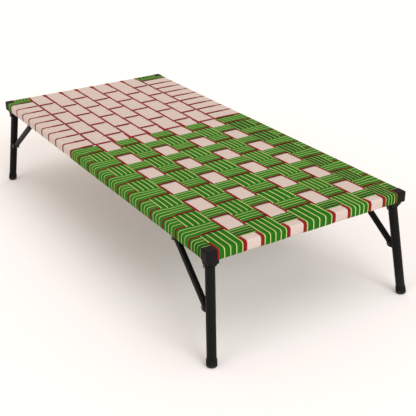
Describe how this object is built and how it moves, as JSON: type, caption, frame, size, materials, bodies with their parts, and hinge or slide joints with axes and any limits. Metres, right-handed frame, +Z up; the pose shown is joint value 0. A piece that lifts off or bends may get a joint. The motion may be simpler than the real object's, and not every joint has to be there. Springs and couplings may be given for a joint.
{
  "type": "dog bed with frame",
  "caption": "Raised dog bed: an interlaced webbing deck on a square tube frame with corner caps, four splayed folding legs, hook-on braces and rubber feet.",
  "frame": {"origin": "on the floor under the middle of the bed", "axes": "+X along the bed towards the near, green end; +Y across the bed; +Z up"},
  "size_m": [1.3566, 0.6278, 0.293],
  "materials": {
    "black_steel": "satin black powder coat",
    "bolt_steel": "black oxide",
    "black_plastic": "lightly grained",
    "black_rubber": "matte",
    "green_webbing": "woven cord webbing, green with yellow-green lines",
    "beige_webbing": "woven cotton tape, beige with dark red edges"
  },
  "bodies": {
    "frame": {"side_rail_left": "black_steel", "side_rail_right": "black_steel", "end_rail_near": "black_steel", "end_rail_far": "black_steel", "corner_cap_near_left": "black_plastic", "leg_bracket_near_left": "black_steel", "leg_pivot_bolt_near_left": "bolt_steel", "brace_catch_near_left": "black_steel", "corner_cap_near_right": "black_plastic", "leg_bracket_near_right": "black_steel", "leg_pivot_bolt_near_right": "bolt_steel", "brace_catch_near_right": "black_steel", "corner_cap_far_left": "black_plastic", "leg_bracket_far_left": "black_steel", "leg_pivot_bolt_far_left": "bolt_steel", "brace_catch_far_left": "black_steel", "corner_cap_far_right": "black_plastic", "leg_bracket_far_right": "black_steel", "leg_pivot_bolt_far_right": "bolt_steel", "brace_catch_far_right": "black_steel", "green_long_band_1": "green_webbing", "green_long_band_2": "green_webbing", "green_long_band_3": "green_webbing", "green_long_band_4": "green_webbing", "green_long_band_5": "green_webbing", "beige_long_tape_1": "beige_webbing", "beige_long_tape_2": "beige_webbing", "beige_long_tape_3": "beige_webbing", "beige_long_tape_4": "beige_webbing", "green_cross_band_1": "green_webbing", "green_cross_band_2": "green_webbing", "green_cross_band_3": "green_webbing", "green_cross_band_4": "green_webbing", "green_cross_band_5": "green_webbing", "green_cross_band_6": "green_webbing", "beige_cross_tape_1": "beige_webbing", "beige_cross_tape_2": "beige_webbing", "beige_cross_tape_3": "beige_webbing", "beige_cross_tape_4": "beige_webbing", "green_end_band": "green_webbing"},
    "leg_unit_near_left": {"leg_near_left": "black_steel", "foot_near_left": "black_rubber", "brace_bolt_near_left": "bolt_steel"},
    "brace_unit_near_left": {"brace_near_left": "black_steel", "catch_pin_near_left": "bolt_steel"},
    "leg_unit_near_right": {"leg_near_right": "black_steel", "foot_near_right": "black_rubber", "brace_bolt_near_right": "bolt_steel"},
    "brace_unit_near_right": {"brace_near_right": "black_steel", "catch_pin_near_right": "bolt_steel"},
    "leg_unit_far_left": {"leg_far_left": "black_steel", "foot_far_left": "black_rubber", "brace_bolt_far_left": "bolt_steel"},
    "brace_unit_far_left": {"brace_far_left": "black_steel", "catch_pin_far_left": "bolt_steel"},
    "leg_unit_far_right": {"leg_far_right": "black_steel", "foot_far_right": "black_rubber", "brace_bolt_far_right": "bolt_steel"},
    "brace_unit_far_right": {"brace_far_right": "black_steel", "catch_pin_far_right": "bolt_steel"}
  },
  "joints": [
    {"name": "leg_fold_near_left", "type": "hinge", "parent": "frame", "child": "leg_unit_near_left", "pos_m": [0.62753, -0.27849, 0.2465], "axis": [0, 0.996, -0.0898], "range_deg": [0, 91]},
    {"name": "brace_fold_near_left", "type": "hinge", "parent": "leg_unit_near_left", "child": "brace_unit_near_left", "pos_m": [0.62415, -0.28843, 0.13616], "axis": [0, -0.996, 0.0898], "range_deg": [0, 129.9]},
    {"name": "leg_fold_near_right", "type": "hinge", "parent": "frame", "child": "leg_unit_near_right", "pos_m": [0.62753, 0.27849, 0.2465], "axis": [0, 0.996, 0.0898], "range_deg": [0, 91]},
    {"name": "brace_fold_near_right", "type": "hinge", "parent": "leg_unit_near_right", "child": "brace_unit_near_right", "pos_m": [0.62415, 0.28843, 0.13616], "axis": [0, -0.996, -0.0898], "range_deg": [0, 129.9]},
    {"name": "leg_fold_far_left", "type": "hinge", "parent": "frame", "child": "leg_unit_far_left", "pos_m": [-0.62753, -0.27849, 0.2465], "axis": [0, -0.996, 0.0898], "range_deg": [0, 91]},
    {"name": "brace_fold_far_left", "type": "hinge", "parent": "leg_unit_far_left", "child": "brace_unit_far_left", "pos_m": [-0.62415, -0.28843, 0.13616], "axis": [0, 0.996, -0.0898], "range_deg": [0, 129.9]},
    {"name": "leg_fold_far_right", "type": "hinge", "parent": "frame", "child": "leg_unit_far_right", "pos_m": [-0.62753, 0.27849, 0.2465], "axis": [0, -0.996, -0.0898], "range_deg": [0, 91]},
    {"name": "brace_fold_far_right", "type": "hinge", "parent": "leg_unit_far_right", "child": "brace_unit_far_right", "pos_m": [-0.62415, 0.28843, 0.13616], "axis": [0, 0.996, 0.0898], "range_deg": [0, 129.9]}
  ],
  "couplings": [
    {"joint": "brace_fold_near_left", "follows": "leg_fold_near_left", "ratio": 1.417},
    {"joint": "brace_fold_near_right", "follows": "leg_fold_near_right", "ratio": 1.417},
    {"joint": "brace_fold_far_left", "follows": "leg_fold_far_left", "ratio": 1.417},
    {"joint": "brace_fold_far_right", "follows": "leg_fold_far_right", "ratio": 1.417}
  ]
}
